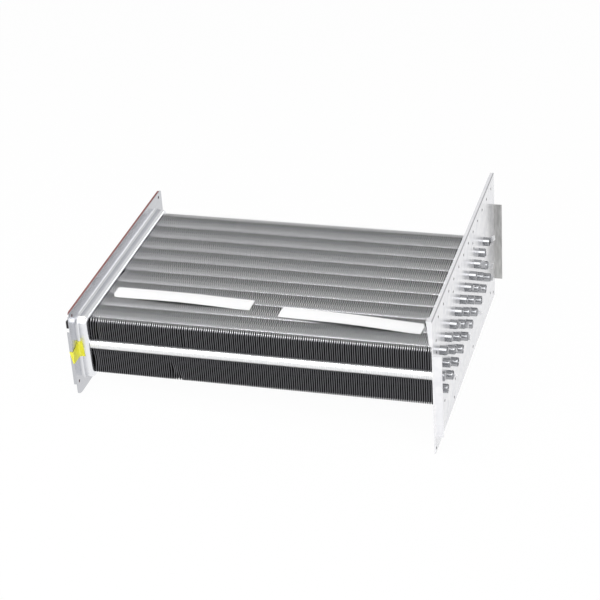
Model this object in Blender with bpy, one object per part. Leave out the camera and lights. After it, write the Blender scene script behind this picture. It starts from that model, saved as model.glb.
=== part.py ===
"""Furnace heat exchanger: three staggered rows of flue tubes in an aluminium fin pack,
held between a flanged tube sheet and a pressed collector pan.

Lengths are in metres. X runs along the tubes and is 0 at the tube sheet's outer face,
Y runs front to back and is 0 at the middle of the bank, Z is up and is 0 at the middle row.
"""
import math

import bmesh
import bpy

MM = 0.001

# Clearance kept between pieces that touch on the real object
GAP = 0.3 * MM

# Flue tubes
TUBE_PITCH = 25.4 * MM
ROW_PITCH = 22.0 * MM
TUBES_PER_ROW = 10
TUBE_DIAMETER = 9.525 * MM
TUBE_WALL = 0.6 * MM
TUBE_SIDES = 10
BANK_LENGTH = 364.0 * MM
STUB_LENGTH = 7.0 * MM
TAIL_LENGTH = 3.0 * MM

# Turbulator strips, one in each tube
STRIP_THICKNESS = 0.8 * MM
STRIP_SEAT = 0.3 * MM
STRIP_REACH = 2.5 * MM
STRIP_SLANT = 3.0 * MM
STRIP_TURN_STEPS = 3

# Fin pack, 11 fins to the inch; each rib of the solid is the edge of three fins
FIN_PITCH = 25.4 / 11 * MM
FINS_PER_RIB = 3
FIN_ABOVE = 6.0 * MM
FIN_BELOW = 13.8 * MM
FIN_CORNER = 4.0 * MM
FIN_END_SPACE = 2.8 * MM
RIB_THICKNESS = 1.4 * MM
RIB_DEPTH = 5.9 * MM
COLLAR_COVER = 0.3 * MM
BORE_SIDES = 8

# Tube sheet
SHEET_THICKNESS = 1.2 * MM
SHEET_FRONT = 21.0 * MM
SHEET_BACK = 63.9 * MM
SHEET_ABOVE = 45.3 * MM
SHEET_BELOW = 42.9 * MM
SIDE_FLANGE_WIDTH = 8.6 * MM
SIDE_FLANGE_ABOVE = 6.9 * MM
SIDE_FLANGE_BELOW = 22.3 * MM
TOP_FLANGE_WIDTH = 4.0 * MM
TAB_WIDTH = 5.8 * MM
TAB_RUN = 9.0 * MM
TAB_DROP = 28.0 * MM
TAB_TOE = 2.0 * MM

# Screw holes in the tube sheet
SCREW_HOLE = 3.4 * MM
HOLE_SIDES = 6
EDGE_ROW_DROP = 10.6 * MM
EDGE_ROW_START = 28.6 * MM
EDGE_ROW_PITCH = 25.4 * MM
EDGE_ROW_END_SPACE = 12.0 * MM
# Each pair is the distance from the front edge and from the top edge
UPPER_HOLES = (
    (16.5 * MM, 30.2 * MM),
    (16.5 * MM, 43.5 * MM),
    (100.3 * MM, 23.0 * MM),
    (204.2 * MM, 23.0 * MM),
    (209.1 * MM, 31.4 * MM),
)
# Each pair is the distance from the front edge and from the bottom edge
LOWER_HOLES = (
    (4.5 * MM, 4.5 * MM),
    (48.4 * MM, 32.6 * MM),
    (94.2 * MM, 7.5 * MM),
    (101.2 * MM, 25.8 * MM),
    (196.3 * MM, 7.5 * MM),
    (298.5 * MM, 16.4 * MM),
    (316.5 * MM, 7.5 * MM),
)

# Collector pan
PAN_THICKNESS = 0.8 * MM
PAN_DEPTH = 11.4 * MM
PAN_MARGIN = 4.5 * MM
PAN_RIM_SPACE = 0.15 * MM
PAN_CORNER = 10.0 * MM
PAN_BEND = 1.4 * MM
PAN_SIDE_FLANGE = 15.7 * MM
PAN_TOP_FLANGE = 12.7 * MM
PAN_BOTTOM_FLANGE = 11.2 * MM
FLANGE_CORNER = 3.0 * MM
CLIPPED_CORNER = (12.5 * MM, 6.0 * MM)
CORNER_STEPS = 3
LIP_DEPTH = 2.8 * MM
LIP_TOP_DROP = 20.2 * MM
LIP_BOTTOM_RISE = 14.5 * MM
# Each pair is the distance in from the flange's end and from its top or bottom edge
FLANGE_HOLE = 3.4 * MM
FLANGE_TOP_HOLES = (9.5 * MM, 5.0 * MM)
FLANGE_LOW_HOLES = (6.4 * MM, 15.3 * MM)

# Gasket on the pan flange's outer face
GASKET_THICKNESS = 2.2 * MM
GASKET_FRONT_INSET = 6.3 * MM
GASKET_INSET = 0.4 * MM
GASKET_INNER_MARGIN = 2.0 * MM
SEAL_HEIGHT = 8.0 * MM
SEAL_WIDTH = 4.5 * MM
SEAL_DROP = 7.2 * MM

# Yellow tape folded round the pan's front edge
TAPE_THICKNESS = 0.35 * MM
TAPE_WIDTH = 17.5 * MM
TAPE_DROP = 39.0 * MM
TAPE_TAPER = 4.0 * MM
TAPE_CLIMB = 4.7 * MM
TAPE_LIP_LEAN = 2.6 * MM
TAPE_WALL_LEAN = 1.3 * MM

# Blank paper strips lying on the fins
PAPER_WIDTH = 20.0 * MM
PAPER_THICKNESS = 0.5 * MM
PAPER_CORNER = (3.0 * MM, 5.5 * MM)
PAPER_LEFT_SPACE = 7.6 * MM
PAPER_GAP = 32.3 * MM
PAPER_RIGHT_SPACE = 22.1 * MM
LEFT_PAPER_DEPTH = 57.5 * MM
LEFT_PAPER_TURN = math.radians(178.5)
RIGHT_PAPER_DEPTH = 43.2 * MM
RIGHT_PAPER_TURN = math.radians(-3.85)

# Places that follow from the sizes above
TUBE_RADIUS = TUBE_DIAMETER / 2
BANK_HALF = (TUBES_PER_ROW - 0.5) * TUBE_PITCH / 2
PAN_FLOOR_X = -BANK_LENGTH
PAN_FLANGE_X = PAN_FLOOR_X - PAN_DEPTH
FIN_TOP = ROW_PITCH + FIN_ABOVE
FIN_BOTTOM = -ROW_PITCH - FIN_BELOW
FIN_LEFT_X = PAN_FLOOR_X + GAP
FIN_RIGHT_X = -SHEET_THICKNESS - FIN_END_SPACE
SHEET_Y = (-BANK_HALF - SHEET_FRONT, BANK_HALF + SHEET_BACK)
SHEET_Z = (FIN_BOTTOM - SHEET_BELOW, FIN_TOP + SHEET_ABOVE)
SIDE_FLANGE_Z = (FIN_BOTTOM - SIDE_FLANGE_BELOW, FIN_TOP + SIDE_FLANGE_ABOVE)
SHEET_HOLE_FLAT = TUBE_RADIUS * math.cos(math.pi / TUBE_SIDES) + GAP
SHEET_HOLE_RADIUS = SHEET_HOLE_FLAT / math.cos(math.pi / TUBE_SIDES)
WALL_HALF = BANK_HALF + SHEET_HOLE_RADIUS + PAN_RIM_SPACE + PAN_BEND + PAN_THICKNESS
WALL_Z = (FIN_BOTTOM - PAN_MARGIN, FIN_TOP + PAN_MARGIN)
FLANGE_HALF = WALL_HALF + PAN_SIDE_FLANGE
FLANGE_Z = (WALL_Z[0] - PAN_BOTTOM_FLANGE, WALL_Z[1] + PAN_TOP_FLANGE)
LIP_Z = (FLANGE_Z[0] + LIP_BOTTOM_RISE, FLANGE_Z[1] - LIP_TOP_DROP)
PAPER_LENGTH = (BANK_LENGTH - PAPER_LEFT_SPACE - PAPER_GAP - PAPER_RIGHT_SPACE) / 2
TUBE_ROWS = (
    ("top", ROW_PITCH, -BANK_HALF + TUBE_PITCH / 2),
    ("middle", 0.0, -BANK_HALF),
    ("bottom", -ROW_PITCH, -BANK_HALF + TUBE_PITCH / 2),
)


def clear_scene():
    """Removes whatever the open file holds."""
    for item in list(bpy.data.objects):
        bpy.data.objects.remove(item, do_unlink=True)


def make_material(name, colour, roughness, metallic):
    """A plain Principled material; the colour is linear RGB."""
    material = bpy.data.materials.new(name)
    material.use_nodes = True
    shader = material.node_tree.nodes["Principled BSDF"]
    shader.inputs["Base Color"].default_value = (*colour, 1.0)
    shader.inputs["Roughness"].default_value = roughness
    shader.inputs["Metallic"].default_value = metallic
    return material


def make_object(name, mesh, material, parent):
    """Links an object for the mesh under the parent empty."""
    item = bpy.data.objects.new(name, mesh)
    if material is not None:
        mesh.materials.clear()
        mesh.materials.append(material)
    item.parent = parent
    bpy.context.scene.collection.objects.link(item)
    return item


def mesh_from(bm, name):
    """Writes the bmesh to a new mesh with its faces pointing out."""
    bmesh.ops.recalc_face_normals(bm, faces=bm.faces)
    mesh = bpy.data.meshes.new(name)
    bm.to_mesh(mesh)
    bm.free()
    return mesh


def loft(bm, rings):
    """Skins a list of rings, each with the same number of points, and caps both ends."""
    loops = [[bm.verts.new(point) for point in ring] for ring in rings]
    count = len(loops[0])
    for lower, upper in zip(loops, loops[1:]):
        for i in range(count):
            j = (i + 1) % count
            bm.faces.new((lower[i], lower[j], upper[j], upper[i]))
    bm.faces.new(loops[0])
    bm.faces.new(loops[-1])


def ring_at(outline, x):
    """Places a YZ outline at one X."""
    return [(x, y, z) for y, z in outline]


def prism(bm, outline, low_x, high_x):
    """A YZ outline run along X."""
    loft(bm, [ring_at(outline, low_x), ring_at(outline, high_x)])


def box(bm, x, y, z):
    """A block between the low and high values of each axis."""
    prism(bm, [(y[0], z[0]), (y[1], z[0]), (y[1], z[1]), (y[0], z[1])], x[0], x[1])


def regular_outline(radius, sides, y=0.0, z=0.0):
    """A regular polygon with a flat side at +Y and at -Y."""
    step = 2 * math.pi / sides
    angles = [(i + 0.5) * step for i in range(sides)]
    return [(y + radius * math.cos(a), z + radius * math.sin(a)) for a in angles]


def rounded_outline(y, z, radii):
    """A rectangle with an elliptical round of (Y, Z) radii at each corner.

    The corners are front bottom, back bottom, back top and front top.
    """
    corners = ((0, 0, 2), (1, 0, 3), (1, 1, 0), (0, 1, 1))
    outline = []
    for (side, level, quarters), (radius_y, radius_z) in zip(corners, radii):
        centre_y = y[side] + (radius_y if side == 0 else -radius_y)
        centre_z = z[level] + (radius_z if level == 0 else -radius_z)
        for step in range(CORNER_STEPS + 1):
            angle = (quarters + step / CORNER_STEPS) * math.pi / 2
            outline.append((centre_y + radius_y * math.cos(angle), centre_z + radius_z * math.sin(angle)))
    return outline


def combine(target, tool, operation):
    """Adds a Boolean on the target and hides the tool that drives it."""
    modifier = target.modifiers.new(f"{operation.lower()} {tool.name}", "BOOLEAN")
    modifier.operation = operation
    modifier.object = tool
    tool.hide_render = True
    tool.display_type = "WIRE"


def tool_object(bm, name, parent):
    """A hidden solid used to cut or to join."""
    return make_object(name, mesh_from(bm, name), None, parent)


def tube_centres():
    """Yields the row's name, the tube's number and its centre in Y and Z."""
    for row, height, first in TUBE_ROWS:
        for index in range(TUBES_PER_ROW):
            yield row, index, first + index * TUBE_PITCH, height


def tube_holes(name, sides, radius, low_x, high_x, parent):
    """A cutter with one bar for each tube; the radius is the one the bar's flats keep."""
    bm = bmesh.new()
    corner_radius = radius / math.cos(math.pi / sides)
    for _, _, y, z in tube_centres():
        prism(bm, regular_outline(corner_radius, sides, y, z), low_x, high_x)
    return tool_object(bm, name, parent)


def make_tubes(material, parent):
    """Thirty open tubes, each with its turbulator strip seated in the wall along both edges."""
    low_x = PAN_FLOOR_X - TAIL_LENGTH
    inner_radius = TUBE_RADIUS - TUBE_WALL
    outer = regular_outline(TUBE_RADIUS, TUBE_SIDES)
    inner = regular_outline(inner_radius, TUBE_SIDES)
    bm = bmesh.new()
    rings = [(outer, low_x), (outer, STUB_LENGTH), (inner, STUB_LENGTH), (inner, low_x)]
    loops = [[bm.verts.new(point) for point in ring_at(outline, x)] for outline, x in rings]
    for first, second in zip(loops, loops[1:] + loops[:1]):
        for i in range(TUBE_SIDES):
            j = (i + 1) % TUBE_SIDES
            bm.faces.new((first[i], first[j], second[j], second[i]))
    tube_mesh = mesh_from(bm, "tube")
    tube_mesh.shade_smooth()
    tube_mesh.set_sharp_from_angle(angle=math.radians(40))

    half_width = inner_radius * math.cos(math.pi / TUBE_SIDES) + STRIP_SEAT
    half_thickness = STRIP_THICKNESS / 2
    section = [
        (-half_width, -half_thickness),
        (half_width, -half_thickness),
        (half_width, half_thickness),
        (-half_width, half_thickness),
    ]
    end_x = STUB_LENGTH + STRIP_REACH
    slanted_end = [(end_x + STRIP_SLANT * (0.5 + y / (2 * half_width)), y, z) for y, z in section]
    bm = bmesh.new()
    loft(bm, [ring_at(section, low_x + TAIL_LENGTH), slanted_end])
    strip_mesh = mesh_from(bm, "turbulator_strip")

    for row, index, y, z in tube_centres():
        tube = make_object(f"tube_{row}_{index + 1:02d}", tube_mesh, material, parent)
        strip = make_object(f"strip_{row}_{index + 1:02d}", strip_mesh, material, parent)
        for item in (tube, strip):
            item.location = (0.0, y, z)
        # A turn by whole sides keeps the tube's flats level with those of its holes
        strip.rotation_euler.x = math.radians(360 / TUBE_SIDES) * ((STRIP_TURN_STEPS * index + len(row)) % TUBE_SIDES)
        combine(tube, strip, "UNION")


def fin_outline(front, back, bottom, top):
    """The fin's outline, drawn in by its own distance on each side."""
    low_y = -BANK_HALF + front
    high_y = BANK_HALF - back
    low_z = FIN_BOTTOM + bottom
    high_z = FIN_TOP - top
    return [
        (low_y + FIN_CORNER, low_z),
        (high_y, low_z),
        (high_y, high_z),
        (low_y + FIN_CORNER, high_z),
        (low_y, high_z - FIN_CORNER),
        (low_y, low_z + FIN_CORNER),
    ]


def make_fin_pack(material, parent):
    """The stack of fins: ribs stand out of the nested collars, and every tube has its bore."""
    bore_radius = TUBE_RADIUS + GAP
    groove_top = FIN_ABOVE - bore_radius - COLLAR_COVER
    fin = fin_outline(0.0, 0.0, 0.0, 0.0)
    core = fin_outline(RIB_DEPTH, RIB_DEPTH, RIB_DEPTH, groove_top)
    length = FIN_RIGHT_X - FIN_LEFT_X - RIB_THICKNESS
    gaps = round(length / (FIN_PITCH * FINS_PER_RIB))
    rings = []
    for index in range(gaps + 1):
        x = FIN_LEFT_X + index * length / gaps
        if index:
            rings.append(ring_at(core, x))
        rings.append(ring_at(fin, x))
        rings.append(ring_at(fin, x + RIB_THICKNESS))
        if index < gaps:
            rings.append(ring_at(core, x + RIB_THICKNESS))
    bm = bmesh.new()
    loft(bm, rings)
    pack = make_object("fin_pack", mesh_from(bm, "fin_pack"), material, parent)
    cutter = tube_holes("fin_bores", BORE_SIDES, bore_radius, FIN_LEFT_X - GAP, FIN_RIGHT_X + GAP, parent)
    combine(pack, cutter, "DIFFERENCE")


def sheet_hole_places():
    """The screw holes of the tube sheet as Y and Z."""
    places = []
    y = SHEET_Y[0] + EDGE_ROW_START
    while y < SHEET_Y[1] - EDGE_ROW_END_SPACE:
        places.append((y, SHEET_Z[1] - EDGE_ROW_DROP))
        y += EDGE_ROW_PITCH
    places += [(SHEET_Y[0] + across, SHEET_Z[1] - down) for across, down in UPPER_HOLES]
    places += [(SHEET_Y[0] + across, SHEET_Z[0] + up) for across, up in LOWER_HOLES]
    return places


def make_tube_sheet(material, parent):
    """The folded plate at the stub end: side flanges out, a narrow top flange and tab in."""
    bm = bmesh.new()
    box(bm, (-SHEET_THICKNESS, 0.0), SHEET_Y, SHEET_Z)
    sheet = make_object("tube_sheet", mesh_from(bm, "tube_sheet"), material, parent)

    bm = bmesh.new()
    out_x = (-SHEET_THICKNESS, SIDE_FLANGE_WIDTH)
    box(bm, out_x, (SHEET_Y[0], SHEET_Y[0] + SHEET_THICKNESS), SIDE_FLANGE_Z)
    box(bm, out_x, (SHEET_Y[1] - SHEET_THICKNESS, SHEET_Y[1]), SIDE_FLANGE_Z)
    combine(sheet, tool_object(bm, "side_flanges", parent), "UNION")

    bm = bmesh.new()
    top_z = (SHEET_Z[1] - SHEET_THICKNESS, SHEET_Z[1])
    box(bm, (-TOP_FLANGE_WIDTH, 0.0), SHEET_Y, top_z)
    combine(sheet, tool_object(bm, "top_flange", parent), "UNION")

    bm = bmesh.new()
    box(bm, (-TAB_WIDTH, 0.0), (SHEET_Y[0], SHEET_Y[0] + TAB_RUN), top_z)
    combine(sheet, tool_object(bm, "top_tab", parent), "UNION")

    bm = bmesh.new()
    side = [
        (-TAB_WIDTH, SHEET_Z[1]),
        (0.0, SHEET_Z[1]),
        (0.0, SHEET_Z[1] - TAB_DROP),
        (-SHEET_THICKNESS - TAB_TOE, SHEET_Z[1] - TAB_DROP),
    ]
    loft(bm, [[(x, y, z) for x, z in side] for y in (SHEET_Y[0], SHEET_Y[0] + SHEET_THICKNESS)])
    combine(sheet, tool_object(bm, "side_tab", parent), "UNION")

    hole_x = (-SHEET_THICKNESS - GAP, GAP)
    cutter = tube_holes("sheet_bores", TUBE_SIDES, SHEET_HOLE_FLAT, *hole_x, parent)
    combine(sheet, cutter, "DIFFERENCE")

    bm = bmesh.new()
    for y, z in sheet_hole_places():
        prism(bm, regular_outline(SCREW_HOLE / 2, HOLE_SIDES, y, z), *hole_x)
    combine(sheet, tool_object(bm, "sheet_screw_holes", parent), "DIFFERENCE")


def wall_outline(out):
    """The pan wall's outline, moved out by a distance."""
    radius = PAN_CORNER + out
    y = (-WALL_HALF - out, WALL_HALF + out)
    z = (WALL_Z[0] - out, WALL_Z[1] + out)
    return rounded_outline(y, z, [(radius, radius)] * 4)


def flange_outline():
    """The pan flange's outline, with its front bottom corner clipped."""
    plain = (FLANGE_CORNER, FLANGE_CORNER)
    return rounded_outline((-FLANGE_HALF, FLANGE_HALF), FLANGE_Z, [CLIPPED_CORNER, plain, plain, plain])


def make_collector_pan(material, parent):
    """The pressed pan at the other end: flange, bent wall and a floor that holds the tubes."""
    outer_bend = PAN_BEND
    inner_bend = PAN_BEND + PAN_THICKNESS
    floor_back = PAN_FLOOR_X - PAN_THICKNESS
    flange_back = PAN_FLANGE_X - PAN_THICKNESS
    root_x = PAN_FLANGE_X + PAN_BEND
    rim_x = PAN_FLOOR_X - inner_bend
    turns = (0.0, math.pi / 4, math.pi / 2)
    rings = []
    for turn in turns:
        out = -inner_bend + inner_bend * math.sin(turn)
        rings.append(ring_at(wall_outline(out), rim_x + inner_bend * math.cos(turn)))
    for turn in reversed(turns):
        out = outer_bend - outer_bend * math.sin(turn)
        rings.append(ring_at(wall_outline(out), root_x - outer_bend * math.cos(turn)))
    rings.append(ring_at(flange_outline(), PAN_FLANGE_X))
    rings.append(ring_at(flange_outline(), flange_back))
    for turn in turns:
        out = outer_bend - inner_bend * math.sin(turn)
        rings.append(ring_at(wall_outline(out), root_x - inner_bend * math.cos(turn)))
    for turn in reversed(turns):
        out = -inner_bend + outer_bend * math.sin(turn)
        rings.append(ring_at(wall_outline(out), floor_back - outer_bend + outer_bend * math.cos(turn)))
    bm = bmesh.new()
    loft(bm, rings)
    pan = make_object("collector_pan", mesh_from(bm, "collector_pan"), material, parent)

    bm = bmesh.new()
    front_edge = (-FLANGE_HALF, -FLANGE_HALF + PAN_THICKNESS)
    box(bm, (flange_back - LIP_DEPTH, PAN_FLANGE_X), front_edge, LIP_Z)
    combine(pan, tool_object(bm, "front_lip", parent), "UNION")

    hole_x = (floor_back - GAP, PAN_FLOOR_X + GAP)
    cutter = tube_holes("pan_bores", TUBE_SIDES, SHEET_HOLE_FLAT, *hole_x, parent)
    combine(pan, cutter, "DIFFERENCE")

    top_in, top_down = FLANGE_TOP_HOLES
    low_in, low_up = FLANGE_LOW_HOLES
    bm = bmesh.new()
    for end in (-1, 1):
        for y, z in (
            (end * (FLANGE_HALF - top_in), FLANGE_Z[1] - top_down),
            (end * (FLANGE_HALF - low_in), FLANGE_Z[0] + low_up),
        ):
            hole = regular_outline(FLANGE_HOLE / 2, HOLE_SIDES, y, z)
            prism(bm, hole, flange_back - GAP, PAN_FLANGE_X + GAP)
    combine(pan, tool_object(bm, "flange_screw_holes", parent), "DIFFERENCE")


def make_gasket(material, parent):
    """A flat ring of gasket on the pan flange's outer face."""
    high_x = PAN_FLANGE_X - PAN_THICKNESS - GAP
    low_x = high_x - GASKET_THICKNESS
    plain = (FLANGE_CORNER, FLANGE_CORNER)
    outer = rounded_outline(
        (-FLANGE_HALF + GASKET_FRONT_INSET, FLANGE_HALF - GASKET_INSET),
        (FLANGE_Z[0] + GASKET_INSET, FLANGE_Z[1] - GASKET_INSET),
        [CLIPPED_CORNER, plain, plain, plain],
    )
    inner = wall_outline(GASKET_INNER_MARGIN)
    bm = bmesh.new()
    rings = [(outer, low_x), (outer, high_x), (inner, high_x), (inner, low_x)]
    loops = [[bm.verts.new(point) for point in ring_at(outline, x)] for outline, x in rings]
    for first, second in zip(loops, loops[1:] + loops[:1]):
        for i in range(len(first)):
            j = (i + 1) % len(first)
            bm.faces.new((first[i], first[j], second[j], second[i]))
    make_object("collector_gasket", mesh_from(bm, "collector_gasket"), material, parent)


def make_corner_seal(material, parent):
    """The small black foam block behind the flange's front top corner."""
    high_x = PAN_FLANGE_X - PAN_THICKNESS - GAP
    top_z = FLANGE_Z[1] - SEAL_DROP
    bm = bmesh.new()
    box(
        bm,
        (high_x - GASKET_THICKNESS, high_x),
        (-FLANGE_HALF, -FLANGE_HALF + SEAL_WIDTH),
        (top_z - SEAL_HEIGHT, top_z),
    )
    make_object("corner_seal", mesh_from(bm, "corner_seal"), material, parent)


def tape_section(lip_x, wall_x, z, taper):
    """The tape's band at one edge: round the lip, across the flange and up the wall.

    The band sinks by the taper from the wall to the flange's front edge.
    """
    path = []
    for away in (GAP, GAP + TAPE_THICKNESS):
        front_y = -FLANGE_HALF - away
        wall_y = -WALL_HALF - away
        face_x = PAN_FLANGE_X + away
        path.append([
            (lip_x, front_y, z - taper),
            (face_x, front_y, z - taper),
            (face_x, wall_y - PAN_BEND, z),
            (face_x + PAN_BEND, wall_y, z),
            (wall_x, wall_y, z),
        ])
    inner, outer = path
    return inner + outer[::-1]


def make_tape(material, parent):
    """A band of tape from the pan's front lip across the flange and up the wall, cut aslant."""
    lip_end = PAN_FLANGE_X - PAN_THICKNESS - LIP_DEPTH
    wall_end = PAN_FLANGE_X + PAN_BEND + TAPE_CLIMB
    top_z = FLANGE_Z[1] - TAPE_DROP
    low = tape_section(lip_end + TAPE_LIP_LEAN, wall_end, top_z - TAPE_WIDTH, 0.0)
    high = tape_section(lip_end, wall_end - TAPE_WALL_LEAN, top_z, TAPE_TAPER)
    bm = bmesh.new()
    loft(bm, [low, high])
    make_object("yellow_tape", mesh_from(bm, "yellow_tape"), material, parent)


def make_paper_strips(material, parent):
    """Two blank strips lying on the fins, each with one corner cut off."""
    half_x = PAPER_LENGTH / 2
    half_y = PAPER_WIDTH / 2
    cut_x, cut_y = PAPER_CORNER
    outline = [
        (-half_x, -half_y),
        (half_x, -half_y),
        (half_x, half_y - cut_y),
        (half_x - cut_x, half_y),
        (-half_x, half_y),
    ]
    bm = bmesh.new()
    loft(bm, [[(x, y, z) for x, y in outline] for z in (0.0, PAPER_THICKNESS)])
    mesh = mesh_from(bm, "paper_strip")
    left_x = PAN_FLOOR_X + PAPER_LEFT_SPACE + half_x
    right_x = -PAPER_RIGHT_SPACE - half_x
    places = (
        ("paper_strip_left", left_x, LEFT_PAPER_DEPTH, LEFT_PAPER_TURN),
        ("paper_strip_right", right_x, RIGHT_PAPER_DEPTH, RIGHT_PAPER_TURN),
    )
    for name, x, from_front, turn in places:
        strip = make_object(name, mesh, material, parent)
        strip.location = (x, -BANK_HALF + from_front, FIN_TOP + GAP)
        strip.rotation_euler.z = turn


def main():
    """Builds every piece under one empty."""
    clear_scene()
    root = bpy.data.objects.new("heat_exchanger", None)
    bpy.context.scene.collection.objects.link(root)
    aluminium = make_material("fin_aluminium", (0.42, 0.43, 0.44), 0.35, 1.0)
    stainless = make_material("tube_steel", (0.62, 0.62, 0.63), 0.18, 1.0)
    galvanised = make_material("galvanised_sheet", (0.74, 0.75, 0.77), 0.3, 1.0)
    pan_steel = make_material("pan_steel", (0.66, 0.67, 0.69), 0.3, 1.0)
    gasket = make_material("gasket_brown", (0.17, 0.05, 0.04), 0.8, 0.0)
    foam = make_material("black_foam", (0.02, 0.02, 0.02), 0.9, 0.0)
    tape = make_material("yellow_tape", (0.9, 0.85, 0.03), 0.5, 0.0)
    paper = make_material("white_paper", (0.9, 0.9, 0.9), 0.6, 0.0)
    make_fin_pack(aluminium, root)
    make_tubes(stainless, root)
    make_tube_sheet(galvanised, root)
    make_collector_pan(pan_steel, root)
    make_gasket(gasket, root)
    make_corner_seal(foam, root)
    make_tape(tape, root)
    make_paper_strips(paper, root)


main()
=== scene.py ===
"""The looks of the furnace heat exchanger: thin rippled fins, steel tubes with twisted strips,
galvanised tube sheet, pressed collector pan, gasket, tape and paper strips.

Lengths are in metres in the frame's own axes: X along the tubes, Y to the back, Z up.
"""
import math

import bmesh
import bpy
import numpy as np
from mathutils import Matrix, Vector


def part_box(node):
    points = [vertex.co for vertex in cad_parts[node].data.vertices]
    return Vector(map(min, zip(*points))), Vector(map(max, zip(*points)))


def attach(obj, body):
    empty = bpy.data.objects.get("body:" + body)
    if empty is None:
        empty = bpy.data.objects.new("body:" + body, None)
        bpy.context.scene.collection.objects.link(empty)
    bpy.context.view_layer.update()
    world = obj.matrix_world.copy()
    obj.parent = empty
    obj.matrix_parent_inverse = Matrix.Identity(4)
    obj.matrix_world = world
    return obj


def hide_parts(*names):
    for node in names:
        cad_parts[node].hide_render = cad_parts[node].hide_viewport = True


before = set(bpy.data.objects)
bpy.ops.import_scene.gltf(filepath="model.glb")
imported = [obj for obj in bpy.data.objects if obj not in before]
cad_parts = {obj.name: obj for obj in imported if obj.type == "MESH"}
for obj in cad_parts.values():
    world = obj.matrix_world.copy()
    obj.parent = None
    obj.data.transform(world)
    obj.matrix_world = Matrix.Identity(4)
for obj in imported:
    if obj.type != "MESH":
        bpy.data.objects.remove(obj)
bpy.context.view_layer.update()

MM = 0.001

# Photograph's view
CAMERA_PLACE = (0.3461, -1.66155, 0.9918)
CAMERA_TURN = (60.30, 3.445, 15.42)
CAMERA_LENS = 113.7
SENSOR_WIDTH = 36.0

# Studio: each lamp's name, place, aim, width and depth, and power in watts
LAMPS = (
    ("front_top", (-0.15, -1.05, 1.2), (-0.15, 0.0, 0.0), (2.6, 1.3), 25.0),
    ("back_right", (0.51, 1.2, 0.24), (-0.37, 0.0, 0.03), (0.4, 0.4), 0.8),
    ("overhead", (-0.6, -0.02, 1.5), (-0.6, 0.0, 0.0), (0.75, 0.3), 6.0),
    ("right_side", (1.4, 0.3, 0.9), (0.0, 0.05, 0.0), (0.9, 0.9), 3.5),
)
ROOM_LIGHT = 0.26
BACK_SHINE = 0.75
FRONT_SHINE = 1.0
BACK_SHINE_FROM = 0.1
FRONT_SHINE_FROM = -0.5
FLOOR_REACH = 6.0
FLOOR_GLOW = 0.97

# Mesh work
MERGE_DISTANCE = 0.01 * MM
FLAT_ANGLE = math.radians(1)
SHARP_ANGLE = math.radians(35)

# Fin stock. The real stock is thinner, and is drawn as coarse as it needs to show.
FIN_PITCH = 25.4 / 11 * MM
FIN_THICKNESS = 0.9 * MM
FIN_RIPPLE = 0.5 * MM
RIPPLE_LENGTH = 6.35 * MM
RIPPLE_STEPS = 6
FIN_ROUND = 3.5 * MM
ROUND_STEPS = 4
FIN_STRAY = 0.12 * MM
STRAY_SPREAD = 7919.0
PLAIN_LEVELS = 2
BENT_LEVELS = 16
DENT_REACH = 1.5

# Dents in the fins: X of the middle fin, half width in X, Y, Z, radius and push along X
DENTS = np.array([
    (-357.0, 4.0, -120.6, 28.0, 9.0, 1.5),
    (-355.5, 3.0, -120.6, 9.0, 7.0, 1.1),
    (-361.5, 3.0, -120.6, -20.0, 9.0, 1.3),
    (-277.0, 2.6, -120.6, -23.0, 6.0, 1.4),
    (-271.0, 4.0, -120.6, -33.0, 7.0, 1.8),
    (-262.0, 1.4, -120.6, 14.0, 16.0, 0.7),
    (-276.0, 2.6, 106.0, 28.0, 9.0, 1.1),
    (-361.0, 3.5, 122.0, 28.0, 8.0, 1.0),
    (-363.0, 2.5, -18.0, 28.0, 6.0, 0.9),
    (-341.5, 2.5, 0.0, 28.0, 9.0, 0.8),
]) * MM

# Tubes
TUBE_PITCH = 25.4 * MM
TUBE_RADIUS = 4.7625 * MM
TUBE_WALL = 0.6 * MM
TUBE_SIDES = 40
STUB_LENGTH = 7.0 * MM
MOUTH_ROUND = 0.2 * MM
MOUTH_STEPS = 4
OPEN_TUBES = ("tube_middle_01", "tube_top_10", "tube_bottom_10")

# Collars of the fins on the tubes; a flare slopes off over its share of the pitch
OPEN_COVER = 0.12 * MM
HIDDEN_COVER = 0.7 * MM
COLLAR_FLARE = 0.5 * MM
FLARE_SHARE = 0.16
COLLAR_SIDES = 14
COLLAR_SHARP_ANGLE = math.radians(50)

# Strips in the tubes; how far each reaches out of its mouth spreads evenly, and few reach far
STRIP_THICKNESS = 0.7 * MM
STRIP_HALF_WIDTH = 3.7 * MM
STRIP_TWIST = 48.0 * MM
STRIP_STEPS = 120
STRIP_INSET = 4.0 * MM
FIRST_REACH = 0.25
REACH_SPREAD = 0.618
REACH_POWER = 3
REACH_TURNS = 5
BENT_STRIP_TUBE = "tube_top_10"
BENT_STRIP_TURN = math.radians(75)
BENT_STRIP_RISE = 0.8

# Tube sheet
SHEET_EDGE_ROUND = 0.35 * MM
SHEET_EDGE_STEPS = 2
SHEET_EDGE_ANGLE = math.radians(60)
BACK_FLANGE_START = 0.5 * MM
BACK_FLANGE_DEPTH = 2.0 * MM
HOLE_WALL_DEPTH = 2.0 * MM
HOLE_WALL_AREA = (2.0 * MM) ** 2
HOLE_WALL_LEAN = 0.1

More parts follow.
